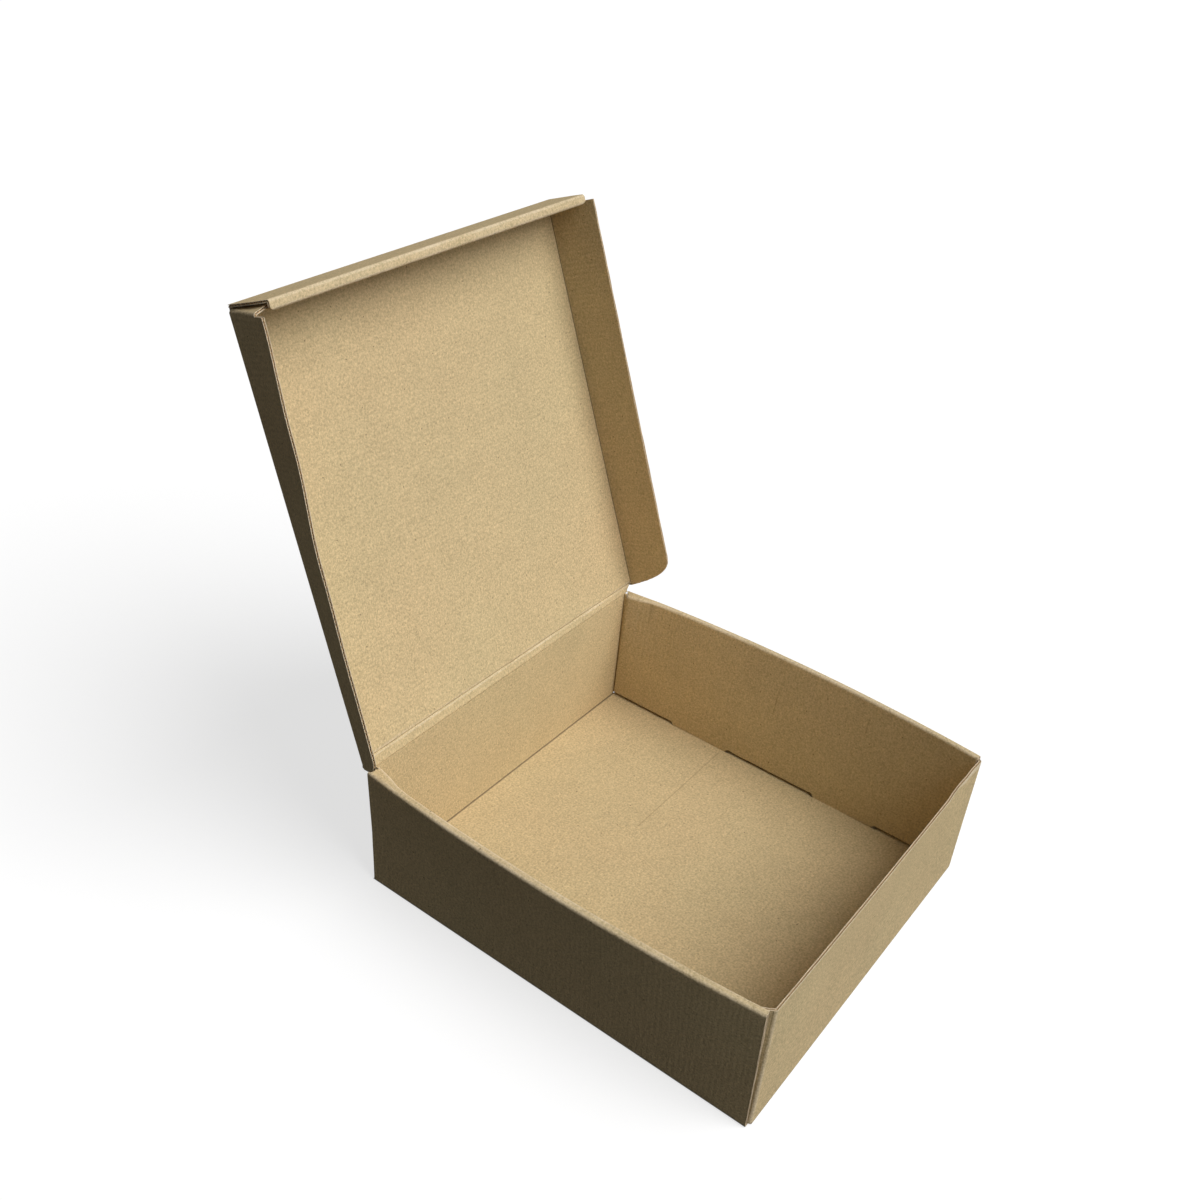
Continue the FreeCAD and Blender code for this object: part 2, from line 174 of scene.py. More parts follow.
class Sheet:
    """Middle layer of a folded sheet. Points are shared where the flat blank is joined."""

    def __init__(self):
        self.index = {}
        self.points = []
        self.flat = []
        self.faces = []
        self.beads = set()
        self.flush = set()

    def point(self, across, along, place):
        """Index of the point at that place of the flat blank, made where there is none yet."""
        key = (round(across, 3), round(along, 3))
        if key not in self.index:
            self.index[key] = len(self.points)
            self.points.append(Vector(place))
            self.flat.append((across, along))
        return self.index[key]

    def panel(self, across, along, fit, keep=None):
        """Grid of faces. fit gives (flat across, flat along, place) of a grid point."""
        for a, next_a in zip(across, across[1:]):
            for b, next_b in zip(along, along[1:]):
                if keep is not None and not keep((a + next_a) / 2, (b + next_b) / 2):
                    continue
                corners = [(a, b), (next_a, b), (next_a, next_b), (a, next_b)]
                loop = list(dict.fromkeys(self.point(*fit(*corner)) for corner in corners))
                if len(loop) > 2:
                    self.faces.append(loop)

    def middle(self, loop):
        """Middle of a face on the flat blank."""
        return [sum(self.flat[vert][axis] for vert in loop) / len(loop) for axis in (0, 1)]

    def cuts_flutes(self, first, second):
        """Whether the line between two points runs across the flutes."""
        (a, b), (next_a, next_b) = self.flat[first], self.flat[second]
        return abs(next_b - b) > abs(next_a - a)

    def study(self):
        """Normals, folds, raw edges and the way inward from each raw edge."""
        bm = bmesh.new()
        for point in self.points:
            bm.verts.new(point)
        bm.verts.ensure_lookup_table()
        bm.verts.index_update()
        for loop in self.faces:
            bm.faces.new([bm.verts[i] for i in loop])
        bm.normal_update()
        self.borders, self.inward, self.open_ends = [], {}, set()
        for edge in bm.edges:
            if not edge.is_boundary:
                continue
            loop = edge.link_loops[0]
            first, second = loop.vert, loop.link_loop_next.vert
            self.borders.append((first.index, second.index))
            side = loop.face.normal.cross(second.co - first.co).normalized()
            is_open = self.cuts_flutes(first.index, second.index)
            for vert in (first, second):
                self.inward.setdefault(vert.index, []).append(side)
                if is_open:
                    self.open_ends.add(vert.index)
        for vert, sides in self.inward.items():
            total = sum(sides, Vector())
            self.inward[vert] = total / max(total.length_squared / len(sides), 0.4)
        self.normals = [vert.normal * min(vert.calc_shell_factor(), 1.5) for vert in bm.verts]
        full_turn = QUARTER / FOLD_STEPS
        self.folds = []
        for vert in bm.verts:
            turns = [edge.calc_face_angle_signed(0.0) for edge in vert.link_edges if not edge.is_boundary]
            sharpest = max(turns, key=abs, default=0.0)
            self.folds.append(max(-1.0, min(1.0, sharpest / full_turn)))
        bm.free()


def thicken(name, sheet, board, materials, part=None):
    """Closed mesh of the sheet, or of a part of it, with a groove between the liners at raw edges."""
    half = board.thickness / MM / 2
    liner = board.liner / MM
    ragged_by = board.ragged / MM
    sheet.study()
    points, flat, folds = [], [], []
    for level in (-1, 1):
        for point, normal, place, fold in zip(sheet.points, sheet.normals, sheet.flat, sheet.folds):
            points.append(point + normal * level * half)
            flat.append(place)
            folds.append(fold * level)
    count = len(sheet.points)
    kept = [loop for loop in sheet.faces if part is None or part(*sheet.middle(loop))]
    steps = {step for loop in kept for step in zip(loop, loop[1:] + loop[:1])}
    borders = sorted(step for step in steps if step[::-1] not in steps)
    raw_steps = set(sheet.borders)
    stacks = {vert: [vert, count + vert] for step in borders for vert in step}
    for vert in sorted({vert for step in borders if step in raw_steps for vert in step}):
        mitre = sheet.inward[vert]
        point, normal = sheet.points[vert], sheet.normals[vert]
        if vert in sheet.beads:
            turns = [math.pi * (i + 1) / FOLD_STEPS - QUARTER for i in range(FOLD_STEPS - 1)]
            extra = [point + (normal * math.sin(a) - mitre * math.cos(a)) * half for a in turns]
        elif vert in sheet.flush:
            extra = []
        else:
            ragged = [noise.noise(point * 0.35 + Vector((0, 0, 50 * k))) * ragged_by for k in (0, 1)]
            points[vert] = points[vert] + mitre * ragged[0]
            points[count + vert] = points[count + vert] + mitre * ragged[1]
            low, high = normal * (liner - half), normal * (half - liner)
            groove = OPEN_GROOVE if vert in sheet.open_ends else CLOSED_GROOVE
            depth = groove * (1 + 0.6 * noise.noise(point * 0.8 + Vector((9, 0, 0))))
            extra = [
                point + low + mitre * ragged[0],
                point + low + mitre * depth,
                point + high + mitre * depth,
                point + high + mitre * ragged[1],
            ]
        stacks[vert] = [vert] + list(range(len(points), len(points) + len(extra))) + [count + vert]
        points += extra
        flat += [sheet.flat[vert]] * len(extra)
        folds += [0.0] * len(extra)
    faces, slots = [], []
    for loop in kept:
        faces.append(loop[::-1])
        faces.append([count + i for i in loop])
        slots += [LINER, LINER]
    for first, second in borders:
        here, there = stacks[first], stacks[second]
        while len(here) < len(there):
            here = here[:-1] + here[-2:-1] * (len(there) - len(here)) + here[-1:]
        while len(there) < len(here):
            there = there[:-1] + there[-2:-1] * (len(here) - len(there)) + there[-1:]
        raw = len(here) == 6 and first not in sheet.beads and (first, second) in raw_steps
        is_open = first in sheet.open_ends and second in sheet.open_ends
        # an open core is the back of the flute hollow, coloured near black as painted shade
        core = FLUTE_HOLLOW_SHADE if is_open else CLOSED_FLUTING
        for k in range(len(here) - 1):
            loop = list(dict.fromkeys([here[k], there[k], there[k + 1], here[k + 1]]))
            if len(loop) < 3:
                continue
            faces.append(loop)
            slots.append((LINER_EDGE, LINER_EDGE, core, LINER_EDGE, LINER_EDGE)[k] if raw else LINER)
    mesh = bpy.data.meshes.new(name)
    mesh.from_pydata([point * MM for point in points], [], faces)
    mesh.update()
    layer = mesh.uv_layers.new(name="blank")
    for loop in mesh.loops:
        a, b = flat[loop.vertex_index]
        layer.data[loop.index].uv = (a * MM, b * MM)
    mesh.attributes.new("fold", "FLOAT", "POINT").data.foreach_set("value", folds)
    for polygon, slot in zip(mesh.polygons, slots):
        polygon.material_index = slot
        polygon.use_smooth = True
    mesh.set_sharp_from_angle(angle=math.radians(SMOOTH_ANGLE))
    for material in materials:
        mesh.materials.append(material)
    drop_loose_points(mesh)
    obj = bpy.data.objects.new(name, mesh)
    bpy.context.scene.collection.objects.link(obj)
    return obj


def drop_loose_points(mesh):
    """Remove the points that no face uses."""
    bm = bmesh.new()
    bm.from_mesh(mesh)
    bmesh.ops.delete(bm, geom=[vert for vert in bm.verts if not vert.link_faces], context="VERTS")
    bm.to_mesh(mesh)
    bm.free()


# Board, folds and tray, in millimetres
QUARTER = math.pi / 2
BOARD = 1.6
HALF_BOARD = BOARD / 2
FOLD = 1.2
RIM_FOLD = 1.0
OPEN_GROOVE = 1.5
CLOSED_GROOVE = 0.35
TRAY_HALF_WIDTH = 132.5
TRAY_HALF_DEPTH = 140.0
TRAY_HEIGHT = 92.0
WALL_END = TRAY_HALF_DEPTH - FOLD - HALF_BOARD
FOLD_X = TRAY_HALF_WIDTH - FOLD - HALF_BOARD
RIM_WIDTH = 5.0
RIM_WEB = RIM_WIDTH - 2 * (RIM_FOLD + HALF_BOARD)
INNER_FACE = TRAY_HALF_WIDTH - RIM_WIDTH + HALF_BOARD
END_WALL_HALF = 128.7
FRONT_TOP = 90.0
HINGE_WALL_TOP = 92.36
DUST_FLAP_BOTTOM = 2.6
DUST_FLAP_REACH = 72.0
SHOULDER = 3.8
TAB_END = 0.3
TAB_START = 35.0
TAB_STOP = 84.0
TAB_TAPER = 2.0
SLOT_MARGIN = 0.85
SLOT_NEAR = 127.3
SLOT_FAR = 129.3
RIM_END = 139.4
PANEL_END_TOP = 135.5
PANEL_END_BOTTOM = 137.2
TAPER_FROM = 100.0
LEAN_RISE = 1.4
RIM_TIP = 1.4
HELD_FROM = 112.0
HELD_SHARE = 0.8
HINGE_FLAP_LEAN = 30.0
LEFT_FLAP_LEAN = 8.0
FRONT_LEAN_ENDS = (0.3, 0.3)
FRONT_LEAN_REACH = 60.0
LEFT_FOLD_INSET = ((HALF_BOARD + FOLD, 0.0), (10.0, 0.8), (FRONT_TOP, 2.2))
CRUSHED = ((98.0, 7.0, 1.3), (117.0, 8.0, 0.8))
CRUSHED_HEIGHT = 16.0

# Lid, in millimetres from the hinge crease and from the lid panel's middle layer
LID_ANGLE = 69.2
LID_LENGTH = 286.8
LID_PANEL_HALF = 138.0
LID_HALF = 140.0
HINGE_HALF = 132.3
FULL_WIDTH_AT = 4.6
UPPER_CREASE = 5.9
CREASE_DEPTH = 0.8
CREASE_SLOPE = 1.4
ROLL_INNER_HALF = 130.0
TAB_SLANT = 3.2
FLAP_START = 2.4
FLAP_END = 282.4
FLAP_DEPTH = 37.0
FRONT_HEIGHT = 33.5
ROLL_WIDTH = 6.4
ROLL_CLEARANCE = 0.5
CORNER_TAB = 45.0
CORNER_TAB_TOP = 31.5
NOSE_LENGTH = 24.0
NOSE_STEPS = (8, 10, 12.5, 15, 18, 21, 24)
NOSE_CURVE = 2.8
NOSE_DEPTH = 2.0
SLANT_LENGTH = 25.0
SLANT_FADE = 12.0
CREASE_STEP = 0.6
CREASE_STEPS = 11
CREASE_WIDTH = 1.2
LID_STATIONS = (FLAP_START, 70.0, 140.0, 210.0, FLAP_END)


class Tray:
    """Folded tray, with the bow of its walls."""

    def __init__(self, sizes):
        self.left = ((sizes.left_front / MM, sizes.left_back / MM), sizes.left_middle / MM)
        self.right = ((sizes.right_front / MM, sizes.right_back / MM), sizes.right_middle / MM)
        self.front = (FRONT_LEAN_ENDS, sizes.front_middle / MM)
        self.sheet = Sheet()
        rim = [(QUARTER * RIM_FOLD, 90), (RIM_WEB, 0), (QUARTER * RIM_FOLD, 90)]
        rise = TRAY_HEIGHT - HALF_BOARD - RIM_FOLD - FOLD - HALF_BOARD
        panel = TRAY_HEIGHT - HALF_BOARD - RIM_FOLD - SHOULDER
        self.side = Path((0, HALF_BOARD), 0, [
            (FOLD_X, 0), (QUARTER * FOLD, 90), (rise, 0), *rim,
            (panel, 0), (SHOULDER - TAB_END, 0),
        ])
        self.rows = both_ways(with_lines(
            Path((0, 0), 0, [(WALL_END, 0)]).lines(),
            [TAB_START - SLOT_MARGIN, TAB_START, TAB_STOP, TAB_STOP + SLOT_MARGIN],
        ))
        self.columns = with_lines(self.side.lines(), [SLOT_NEAR, SLOT_FAR, END_WALL_HALF, FOLD_X])

    def lean(self, side, y, z):
        """How far a side wall stands out at that place."""
        ends, middle = self.left if side < 0 else self.right
        return side * bow(ends, middle, y, TRAY_HALF_DEPTH) * (z / TRAY_HEIGHT) ** LEAN_RISE

    def front_lean(self, x, z):
        """How far the front wall stands out."""
        return -bow(*self.front, x, TRAY_HALF_WIDTH) * (z / TRAY_HEIGHT) ** LEAN_RISE

    def reach(self, end, distance):
        """Half the length of the side panels at a distance along their section."""
        ends = self.side.ends()
        top = PANEL_END_TOP if end > 0 else PANEL_END_BOTTOM
        rim = RIM_END if end > 0 else WALL_END
        return straight([
            (FOLD_X + 3.0, WALL_END), (ends[2], rim), (ends[3], rim - 0.2), (ends[4], top + 0.6),
            (ends[5], top), (ends[6], PANEL_END_BOTTOM),
        ], distance)

    def side_point(self, a, b):
        """Place of a blank point that lies on the base or on a side wall."""
        side = 1 if a > 0 else -1
        distance = abs(a)
        end = 1 if b > 0 else -1
        y = abs(b)
        if y > TAPER_FROM:
            share = (self.reach(end, distance) - TAPER_FROM) / (WALL_END - TAPER_FROM)
            y = TAPER_FROM + (y - TAPER_FROM) * share
        shoulder = self.side.ends()[6]
        if distance > shoulder and TAB_START <= y <= TAB_STOP:
            middle, half = (TAB_START + TAB_STOP) / 2, (TAB_STOP - TAB_START) / 2
            drop = (distance - shoulder) / (SHOULDER - TAB_END)
            y = middle + (y - middle) * (half - TAB_TAPER * drop) / half
        x, z = self.side.at(distance)
        if distance > FOLD_X:
            out = abs(self.lean(side, end * y, z))
            inside = ramp(x, TRAY_HALF_WIDTH, INNER_FACE)
            out *= 1 - HELD_SHARE * inside * ramp(end * y, HELD_FROM, WALL_END)
            tip = RIM_TIP * out / TRAY_HEIGHT * (z / TRAY_HEIGHT) ** 2
            z -= (x - INNER_FACE) * tip
            x += out
        return a, end * y, (side * x, end * y, z)

    def side_kept(self, a, b):
        """Whether there is board at that place: slots in the base, and only tabs below the shoulders."""
        distance, y = abs(a), abs(b)
        if SLOT_NEAR < distance < SLOT_FAR:
            return not TAB_START - SLOT_MARGIN < y < TAB_STOP + SLOT_MARGIN
        if distance > self.side.ends()[6]:
            return TAB_START < y < TAB_STOP
        return True

    def crushed(self, x, z):
        """How far the front wall's worn top is pressed down and in beside the right corner."""
        dips = sum(depth * math.exp(-((x - middle) / width) ** 2) for middle, width, depth in CRUSHED)
        return dips * ramp(z, FRONT_TOP - CRUSHED_HEIGHT, FRONT_TOP)

    def end_wall(self, end, top):
        """Front or hinge wall with its dust flaps."""
        rise = top - FOLD - HALF_BOARD
        up = Path((0, HALF_BOARD), 0, [(WALL_END, 0), (QUARTER * FOLD, 90), (rise, 0)])
        flap = Path((0, TRAY_HALF_DEPTH - HALF_BOARD), 0, [
            (END_WALL_HALF, 0), (QUARTER * FOLD, -90), (WALL_END - TRAY_HALF_DEPTH + DUST_FLAP_REACH, 0),
        ])
        foot = WALL_END + QUARTER * FOLD - FOLD - HALF_BOARD
        rows = with_lines(
            [line for line in up.lines() if line >= WALL_END - 0.01],
            [WALL_END, foot + DUST_FLAP_BOTTOM, foot + FRONT_TOP, foot + top],
        )
        base = [line for line in self.columns if line <= END_WALL_HALF]
        wide = [line for line in flap.lines() if line > END_WALL_HALF]

        def fit(a, b):
            y, z = up.at(abs(b))
            x, reach = flap.at(abs(a))
            back = reach - (TRAY_HALF_DEPTH - HALF_BOARD)
            side = 1 if a > 0 else -1
            x *= side
            y = end * (y + back)
            if end < 0:
                edge = max(-END_WALL_HALF, min(END_WALL_HALF, x))
                y += self.front_lean(edge, z) * ramp(-back, FRONT_LEAN_REACH, 0.0)
                crushed = self.crushed(edge, z) * ramp(-back, 20.0, 0.0)
                y, z = y + crushed, z - 0.7 * crushed
            lean, outward = self.lean(side, y, z), ramp(abs(a), TAPER_FROM, END_WALL_HALF)
            if end > 0:
                x += lean * ramp(-back, 0.0, HINGE_FLAP_LEAN)
            elif side > 0:
                x += lean * outward
            else:
                inset = straight(LEFT_FOLD_INSET, z) * outward * ramp(-back, 7.0, 1.0)
                x += inset + lean * ramp(-back, 0.0, LEFT_FLAP_LEAN)
            return a, end * abs(b), (x, y, z)

        def kept(a, b):
            if abs(a) < END_WALL_HALF:
                return True
            beside_fold = end > 0 and abs(a) < END_WALL_HALF + QUARTER * FOLD + NEAR_FOLD
            return foot + DUST_FLAP_BOTTOM < abs(b) < foot + (top if beside_fold else FRONT_TOP)

        columns = both_ways(base + wide)
        signed = sorted(end * row for row in rows)
        self.sheet.panel(columns, signed, fit, kept)
        if end > 0:
            self.mark_flush(foot + top)

    def mark_flush(self, row):
        """Note the points of the row where the lid goes on: its edge is cut flush."""
        for (_, along), index in self.sheet.index.items():
            if abs(along - row) < 0.01:
                self.sheet.flush.add(index)

    def fold(self):
        """Middle layer of the whole tray."""
        self.sheet.panel(both_ways(self.columns), self.rows, self.side_point, self.side_kept)
        self.end_wall(-1, FRONT_TOP)
        self.end_wall(1, HINGE_WALL_TOP)
        return self.sheet


class Lid:
    """Lid panel with its flaps and rolled front, standing open."""

    def __init__(self, sizes):
        left, right = (
            [(position, math.degrees(value)) for position, value in zip(LID_STATIONS, values)]
            for values in (sizes.left_splay, sizes.right_splay)
        )
        self.splays = {-1: left, 1: right}
        self.sheet = Sheet()
        front = FRONT_HEIGHT - HALF_BOARD - RIM_FOLD - FOLD
        web = ROLL_WIDTH - 2 * (RIM_FOLD + HALF_BOARD)
        inner = FRONT_HEIGHT - HALF_BOARD - RIM_FOLD - HALF_BOARD - ROLL_CLEARANCE
        self.run = Path((0, 0), 0, [
            (LID_LENGTH - FOLD - HALF_BOARD, 0), (QUARTER * FOLD, 90), (front, 0),
            (QUARTER * RIM_FOLD, 90), (web, 0), (QUARTER * RIM_FOLD, 90), (inner, 0),
        ])
        self.columns = Path((0, 0), 0, [(LID_PANEL_HALF, 0)]).lines()
        nose = [FLAP_START + step for step in NOSE_STEPS]
        panel_rows = [line for line in self.run.lines() if 40 < line < FLAP_END - 4]
        self.flap_rows = nose + panel_rows + [FLAP_END]

    def world(self, x, u, v):
        """Place in the part from u along the open lid's panel and v square to it."""
        angle = math.radians(LID_ANGLE)
        return (
            x,
            HINGE[1] / MM + u * math.cos(angle) - v * math.sin(angle),
            HINGE[2] / MM + u * math.sin(angle) + v * math.cos(angle),
        )

    def half_width(self, u):
        """Half the width of the lid panel and its roll at a distance along their section."""
        ends = self.run.ends()
        return straight([
            (HALF_BOARD, HINGE_HALF), (FULL_WIDTH_AT, LID_PANEL_HALF),
            (ends[4], LID_PANEL_HALF), (ends[5] + 2.0, ROLL_INNER_HALF),
        ], u)

    def panel_point(self, a, b):
        """Place of a blank point that lies on the lid panel or its roll."""
        side = 1 if a > 0 else -1
        x = abs(a)
        if x > TAPER_FROM:
            share = (self.half_width(b) - TAPER_FROM) / (LID_PANEL_HALF - TAPER_FROM)
            x = TAPER_FROM + (x - TAPER_FROM) * share
        u, v = self.run.at(b)
        crease = UPPER_CREASE - CREASE_SLOPE * side * x / LID_PANEL_HALF
        v -= CREASE_DEPTH * (1 - ramp(abs(b - crease), 0.0, CREASE_WIDTH))
        return side * x, b, self.world(side * x, u, v)

    def flap_depth(self, u):
        """Depth of a flap: a long curve away from the hinge, then a rounded corner."""
        rise = (u - FLAP_START) / NOSE_LENGTH
        if rise >= 1:
            return FLAP_DEPTH
        return NOSE_DEPTH + (FLAP_DEPTH - NOSE_DEPTH) * (1 - (1 - rise) ** NOSE_CURVE)

    def slant(self, side, s):
        """How far the left corner tab's fold runs off square beside the lid panel."""
        return TAB_SLANT * s / FLAP_DEPTH if side < 0 else 0.0

    def flap_place(self, side, s, u):
        """Place on a flap, s from the lid panel's edge along its section."""
        bend = 90 - through(self.splays[side], u)
        section = Path((LID_PANEL_HALF, 0), 0, [(math.radians(bend) * FOLD, bend), (FLAP_DEPTH, 0)])
        return section.at(s)

    def flap(self, side):
        """Side flap with its corner tab."""
        full = Path((0, 0), 0, [(QUARTER * FOLD, 90), (FLAP_DEPTH - FOLD, 0)])
        lines = full.lines(7.0)
        total = lines[-1]

        def fit(a, b):
            share = self.flap_depth(b) / FLAP_DEPTH
            s = abs(a) - LID_PANEL_HALF
            arc = QUARTER * FOLD
            if s > arc:
                s = arc + (s - arc) * max(share * total - arc, 0.2) / (total - arc)
            x, v = self.flap_place(side, s, b)
            u = b - self.slant(side, s) * ramp(b, FLAP_END - SLANT_LENGTH, FLAP_END)
            return side * (LID_PANEL_HALF + s), b, self.world(side * x, u, v)

        across = sorted(side * (LID_PANEL_HALF + line) for line in lines)
        self.sheet.panel(across, self.flap_rows, fit)
        self.corner_tab(side, lines)

    def corner_tab(self, side, lines):
        """Tab that folds from the flap's front end into the rolled front."""
        turn = QUARTER * FOLD
        levels = [line for line in lines if QUARTER * FOLD - 0.01 < line < CORNER_TAB_TOP + 0.6]
        run = Path((0, FLAP_END), 90, [(turn, 90), (CORNER_TAB, 0)])

        def fit(a, b):
            s = abs(a) - LID_PANEL_HALF
            x, v = self.flap_place(side, s, FLAP_END)
            inset, u = run.at(b - FLAP_END)
            u -= self.slant(side, s) * (1 - ramp(b - FLAP_END, 0.0, SLANT_FADE))
            return a, b, self.world(side * (x + inset), u, v)

        across = sorted(side * (LID_PANEL_HALF + level) for level in levels)
        self.sheet.panel(across, [FLAP_END + line for line in run.lines()], fit)

    def fold(self):
        """Middle layer of the whole lid."""
        press = [FLAP_START + CREASE_STEP * step for step in range(CREASE_STEPS)]
        rows = with_lines(self.run.lines(), [0, HALF_BOARD] + press + self.flap_rows)
        ends = self.run.ends()
        low, high = ends[1], ends[2]

        def fit(a, b):
            if abs(a) <= LID_PANEL_HALF + 0.01:
                return self.panel_point(a, b)
            side = 1 if a > 0 else -1
            u, v = self.run.at(b)
            x = straight([(high - 6.0, LID_HALF), (high, LID_PANEL_HALF + 0.05)], b)
            return a, b, self.world(side * x, u, v)

        def kept(a, b):
            return abs(a) < LID_PANEL_HALF or low + 0.3 < b < high

        columns = both_ways(self.columns + [LID_HALF])
        self.flap_rows = [row for row in rows if FLAP_START - 0.01 < row < FLAP_END + 0.01]
        self.sheet.panel(columns, rows, fit, kept)
        for side in (-1, 1):
            self.flap(side)
        for (_, along), index in self.sheet.index.items():
            if along < 0.01:
                self.sheet.beads.add(index)
        return self.sheet


class Wire:
    """Output socket that can stand in an expression."""

    def __init__(self, nodes, socket):
        self.nodes = nodes
        self.socket = socket

    def __add__(self, other):
        return self.nodes.maths("ADD", self, other)

    def __sub__(self, other):
        return self.nodes.maths("SUBTRACT", self, other)

    def __rsub__(self, other):
        return self.nodes.maths("SUBTRACT", other, self)

    def __mul__(self, other):
        return self.nodes.maths("MULTIPLY", self, other)

    def __truediv__(self, other):
        return self.nodes.maths("DIVIDE", self, other)

    __radd__ = __add__
    __rmul__ = __mul__


class Nodes:
    """Node tree with one way to add a node."""

    def __init__(self, tree):
        self.tree = tree

    def add(self, kind, settings=None, values=None, output=0):
        """Add a node with its settings, its inputs set or linked, and give one of its outputs."""
        node = self.tree.nodes.new(kind)
        for name, value in (settings or {}).items():
            setattr(node, name, value)
        for key, value in (values or {}).items():
            if isinstance(value, Wire):
                self.tree.links.new(value.socket, node.inputs[key])
            else:
                node.inputs[key].default_value = value
        return Wire(self, node.outputs[output]) if node.outputs else None

    def maths(self, operation, *terms):
        """Number worked out from one or more numbers."""
        return self.add("ShaderNodeMath", {"operation": operation}, dict(enumerate(terms)))

    def scaled(self, colour, amount):
        """Colour made lighter or darker by a number."""
        return self.add("ShaderNodeVectorMath", {"operation": "SCALE"}, {0: colour, "Scale": amount})

    def mixed(self, amount, first, second):
        """Colour between two colours."""
        settings = {"data_type": "RGBA", "clamp_factor": True}
        return self.add("ShaderNodeMix", settings, {0: amount, 6: first, 7: second}, 2)

    def rise(self, value, start, end):
        """0 before start, 1 after end."""
        return self.add("ShaderNodeMapRange", {"clamp": True}, {0: value, 1: start, 2: end, 3: 0.0, 4: 1.0})

    def noise(self, place, scale, detail=2.0, rough=0.5):
        values = {"Vector": place, "Scale": scale, "Detail": detail, "Roughness": rough}
        return self.add("ShaderNodeTexNoise", {}, values)

    def axes(self, place):
        """The three coordinates of a place."""
        kind = "ShaderNodeSeparateXYZ"
        split = self.add(kind, values={"Vector": place})
        return [Wire(self, output) for output in split.socket.node.outputs]

    def stretched(self, place, scale):
        """Place with its axes scaled apart."""
        return self.add("ShaderNodeMapping", {}, {"Vector": place, "Scale": scale})


def new_material(name):
    """Empty material and its nodes."""
    material = bpy.data.materials.new(name)
    material.use_nodes = True
    material.node_tree.nodes.clear()
    return material, Nodes(material.node_tree)


def finish(nodes, colour, roughness, specular, height=None, distance=0.0002):
    """Surface from a colour, a roughness and a height."""
    values = {"Base Color": colour, "Roughness": roughness, "Specular IOR Level": specular}
    if height is not None:
        values["Normal"] = nodes.add("ShaderNodeBump", {}, {"Height": height, "Distance": distance})
    surface = nodes.add("ShaderNodeBsdfPrincipled", {}, values)
    nodes.add("ShaderNodeOutputMaterial", {"target": "ALL"}, {"Surface": surface})


def scratch(nodes, across, along, at, start, stop):
    """Straight scratch at one place across, from start to stop along."""
    line = 1 - nodes.rise(nodes.maths("ABSOLUTE", across - at), 0.0002, 0.0007)
    return line * nodes.rise(along, start, start + 0.006) * nodes.rise(0 - along, -stop, 0.006 - stop)


def scratches(nodes, place):
    """Scratch on the tray's floor and two on its right wall."""
    x, y, z = nodes.axes(place)
    floor = nodes.rise(z, 0.001, 0.0012) * nodes.rise(0 - z, -0.004, -0.003)
    on_floor = scratch(nodes, y, x, 0.0392, 0.016, 0.1265) * floor
    on_wall = scratch(nodes, y, z, 0.007, 0.046, 0.074) + scratch(nodes, y, z, -0.061, 0.063, 0.084)
    return on_floor + on_wall * nodes.rise(x, 0.12, 0.121)


def frayed_edge(nodes, place, mottle):
    """Pale frayed strip along the front wall's top, beside the right corner."""
    x, y, z = nodes.axes(place)
    top = nodes.rise(z + mottle * 0.006 + x * 0.06, 0.0932, 0.0948)
    return top * nodes.rise(x + mottle * 0.01, 0.1, 0.108) * nodes.rise(0 - y, 0.137, 0.138)


def liner_material(board):
    """Kraft liner: mottled, with fibres, faint flute lines, specks and worn folds, with painted shade along
    the hollow side of each fold.
    """
    material, nodes = new_material("kraft_liner")
    blank = nodes.add("ShaderNodeUVMap", {"uv_map": "blank"})
    place = nodes.add("ShaderNodeTexCoord", output="Object")
    _, along, _ = nodes.axes(blank)
    fold = nodes.add("ShaderNodeAttribute", {"attribute_name": "fold"}, output="Fac")
    cloud = nodes.noise(place, 38.0, 3.0, 0.6) - 0.5
    mottle = nodes.noise(place, 760.0, 2.0, 0.7) - 0.5
    fibres = nodes.noise(nodes.stretched(blank, (2400.0, 260.0, 1.0)), 1.0, 2.0, 0.5) - 0.5
    flutes = nodes.maths("SINE", along * (2 * math.pi / board.pitch))
    speck_spot = {"Vector": blank, "Scale": 46.0}
    spot = nodes.add("ShaderNodeTexVoronoi", {"voronoi_dimensions": "2D"}, speck_spot)
    pick = nodes.add("ShaderNodeTexVoronoi", {"voronoi_dimensions": "2D"}, speck_spot, "Color")
    chance = nodes.add("ShaderNodeSeparateColor", values={"Color": pick})
    specks = (1 - nodes.rise(spot, 0.012, 0.026)) * nodes.rise(chance, 0.45, 0.5)
    worn = nodes.rise(fold, 0.2, 1.0) * nodes.rise(mottle + cloud, -0.35, 0.2)
    # pressed is painted shade: the hollow side of a fold darkens towards dark brown, as if shade fell in
    # the crease
    pressed = nodes.rise(0 - fold, 0.5, 0.95)
    tone = 1 + cloud * 0.16 + mottle * 1.15 + fibres * 0.35 + flutes * 0.012
    tint = nodes.mixed(nodes.noise(place, 11.0, 2.0), (*board.liner_warm, 1), (*board.liner_cool, 1))
    colour = nodes.scaled(tint, tone)
    colour = nodes.mixed(worn * 0.6, colour, (*board.edge_colour, 1))
    # painted shade in the creases, mixed in at 0.8
    colour = nodes.mixed(pressed * 0.8, colour, (*(part * 0.4 for part in board.fluting_colour), 1))
    colour = nodes.mixed(specks * 0.7, colour, (0.09, 0.055, 0.03, 1))
    colour = nodes.mixed(scratches(nodes, place) * 0.3, colour, (0.2, 0.13, 0.065, 1))
    colour = nodes.mixed(frayed_edge(nodes, place, mottle) * 0.7, colour, (*board.edge_colour, 1))
    height = mottle + fibres * 0.6 + flutes * 0.14
    finish(nodes, colour, 0.88 + mottle * 0.2, 0.22, height)
    return material


